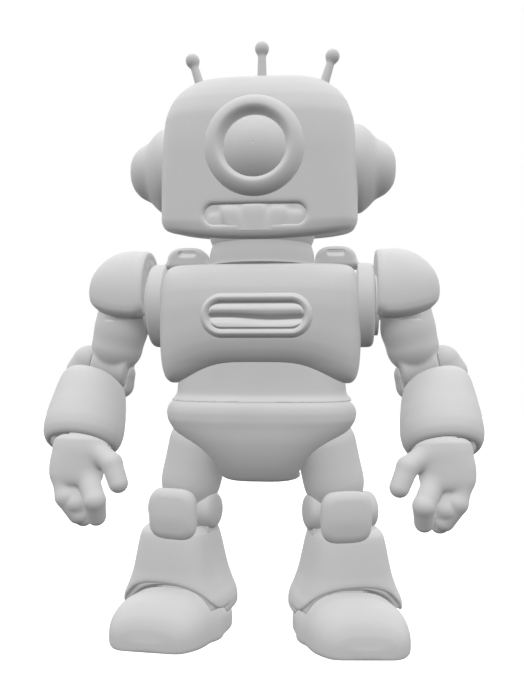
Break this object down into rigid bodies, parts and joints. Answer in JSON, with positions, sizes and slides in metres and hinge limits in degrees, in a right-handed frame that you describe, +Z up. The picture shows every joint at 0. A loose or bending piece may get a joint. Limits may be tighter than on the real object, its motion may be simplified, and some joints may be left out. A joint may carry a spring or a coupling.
{
  "type": "humanoid robot kit",
  "caption": "Humanoid robot kit with a boxy one-eyed head, antennas, ear cones, shoulder caps, barrel forearms, flared shins and big shoes; neck, waist and limbs turn on servo joints.",
  "frame": {"origin": "bottom centre of the bounding box, on the floor that the two soles rest on", "axes": "+Z up, +X to the viewer's right when facing the robot, the robot faces -Y"},
  "size_m": [0.2546, 0.1026, 0.3532],
  "materials": {
    "shell_plastic": "matte, fine moulded grain",
    "joint_plastic": "matte, fine moulded grain",
    "lens_plastic": "frosted, smooth",
    "frame_plastic": "matte nylon",
    "servo_plastic": "satin",
    "circuit_board": "solder mask",
    "battery_wrap": "shrink wrap",
    "speaker_cone": "paper cone",
    "steel": "plain",
    "sole_rubber": "matte"
  },
  "bodies": {
    "pelvis": {"pelvis_shell": "shell_plastic", "belt_ring": "shell_plastic", "pelvis_servos": "servo_plastic"},
    "torso": {"belly_shell": "shell_plastic", "chest_front": "shell_plastic", "chest_back": "shell_plastic", "chest_grille": "shell_plastic", "shoulder_loops": "shell_plastic", "arm_socket_rings": "shell_plastic", "torso_servos": "servo_plastic", "control_board": "circuit_board", "battery_pack": "battery_wrap", "speaker": "speaker_cone", "chest_screws": "steel"},
    "neck": {"neck_column": "shell_plastic"},
    "head": {"head_front": "shell_plastic", "head_back": "shell_plastic", "neck_socket": "frame_plastic", "nod_pin": "steel", "eye_bezel": "shell_plastic", "eye_lens": "lens_plastic", "eye_light": "circuit_board", "teeth": "shell_plastic", "antennas": "shell_plastic", "ear_left": "shell_plastic", "ear_right": "shell_plastic", "head_screws": "steel"},
    "shoulder_left": {"shoulder_hub_left": "frame_plastic", "shoulder_pin_left": "steel", "pauldron_left": "shell_plastic"},
    "upper_arm_left": {"upper_arm_left": "shell_plastic", "elbow_servo_left": "servo_plastic"},
    "forearm_left": {"elbow_collar_left": "joint_plastic", "forearm_cuff_left": "shell_plastic"},
    "hand_left": {"hand_left": "shell_plastic"},
    "thigh_left": {"thigh_left": "shell_plastic", "knee_servo_left": "servo_plastic"},
    "shin_left": {"leg_pins_left": "steel", "knee_pad_left": "shell_plastic", "shin_frame_left": "joint_plastic", "shin_shell_left": "shell_plastic"},
    "foot_left": {"shoe_left": "shell_plastic", "sole_left": "sole_rubber"},
    "shoulder_right": {"shoulder_hub_right": "frame_plastic", "shoulder_pin_right": "steel", "pauldron_right": "shell_plastic"},
    "upper_arm_right": {"upper_arm_right": "shell_plastic", "elbow_servo_right": "servo_plastic"},
    "forearm_right": {"elbow_collar_right": "joint_plastic", "forearm_cuff_right": "shell_plastic"},
    "hand_right": {"hand_right": "shell_plastic"},
    "thigh_right": {"thigh_right": "shell_plastic", "knee_servo_right": "servo_plastic"},
    "shin_right": {"leg_pins_right": "steel", "knee_pad_right": "shell_plastic", "shin_frame_right": "joint_plastic", "shin_shell_right": "shell_plastic"},
    "foot_right": {"shoe_right": "shell_plastic", "sole_right": "sole_rubber"}
  },
  "joints": [
    {"name": "waist_turn", "type": "hinge", "parent": "pelvis", "child": "torso", "pos_m": [0, 0.0041, 0.139], "axis": [0, 0, 1], "range_deg": [-60, 60]},
    {"name": "neck_turn", "type": "hinge", "parent": "torso", "child": "neck", "pos_m": [0, 0.0041, 0.218], "axis": [0, 0, 1], "range_deg": [-35, 35]},
    {"name": "neck_nod", "type": "hinge", "parent": "neck", "child": "head", "pos_m": [0, 0.0041, 0.244], "axis": [1, 0, 0], "range_deg": [-4, 4]},
    {"name": "shoulder_swing_left", "type": "hinge", "parent": "torso", "child": "shoulder_left", "pos_m": [-0.066, 0.0041, 0.195], "axis": [-1, 0, 0], "range_deg": [-40, 100]},
    {"name": "shoulder_spread_left", "type": "hinge", "parent": "shoulder_left", "child": "upper_arm_left", "pos_m": [-0.084, 0.0041, 0.195], "axis": [0, 1, 0], "range_deg": [-6, 8]},
    {"name": "elbow_left", "type": "hinge", "parent": "upper_arm_left", "child": "forearm_left", "pos_m": [-0.09186, 0.00807, 0.15803], "axis": [-0.9781, 0, 0.2079], "range_deg": [-25, 24]},
    {"name": "wrist_turn_left", "type": "hinge", "parent": "forearm_left", "child": "hand_left", "pos_m": [-0.10358, -0.01922, 0.11163], "axis": [-0.0299, -0.515, -0.8566], "range_deg": [-75, 75]},
    {"name": "hip_swing_left", "type": "hinge", "parent": "pelvis", "child": "thigh_left", "pos_m": [-0.038, 0.0041, 0.112], "axis": [-0.9613, 0.2756, 0], "range_deg": [-30, 45]},
    {"name": "knee_left", "type": "hinge", "parent": "thigh_left", "child": "shin_left", "pos_m": [-0.0465, 0.0041, 0.074], "axis": [0.9613, -0.2756, 0], "range_deg": [0, 60]},
    {"name": "ankle_left", "type": "hinge", "parent": "shin_left", "child": "foot_left", "pos_m": [-0.049, 0.0041, 0.026], "axis": [0.9613, -0.2756, 0], "range_deg": [-4, 4]},
    {"name": "shoulder_swing_right", "type": "hinge", "parent": "torso", "child": "shoulder_right", "pos_m": [0.066, 0.0041, 0.195], "axis": [-1, 0, 0], "range_deg": [-40, 100]},
    {"name": "shoulder_spread_right", "type": "hinge", "parent": "shoulder_right", "child": "upper_arm_right", "pos_m": [0.084, 0.0041, 0.195], "axis": [0, -1, 0], "range_deg": [-6, 8]},
    {"name": "elbow_right", "type": "hinge", "parent": "upper_arm_right", "child": "forearm_right", "pos_m": [0.09186, 0.00807, 0.15803], "axis": [-0.9781, 0, -0.2079], "range_deg": [-25, 24]},
    {"name": "wrist_turn_right", "type": "hinge", "parent": "forearm_right", "child": "hand_right", "pos_m": [0.10358, -0.01922, 0.11163], "axis": [0.0299, -0.515, -0.8566], "range_deg": [-75, 75]},
    {"name": "hip_swing_right", "type": "hinge", "parent": "pelvis", "child": "thigh_right", "pos_m": [0.038, 0.0041, 0.112], "axis": [-0.9613, -0.2756, 0], "range_deg": [-30, 45]},
    {"name": "knee_right", "type": "hinge", "parent": "thigh_right", "child": "shin_right", "pos_m": [0.0465, 0.0041, 0.074], "axis": [0.9613, 0.2756, 0], "range_deg": [0, 60]},
    {"name": "ankle_right", "type": "hinge", "parent": "shin_right", "child": "foot_right", "pos_m": [0.049, 0.0041, 0.026], "axis": [0.9613, 0.2756, 0], "range_deg": [-4, 4]}
  ]
}
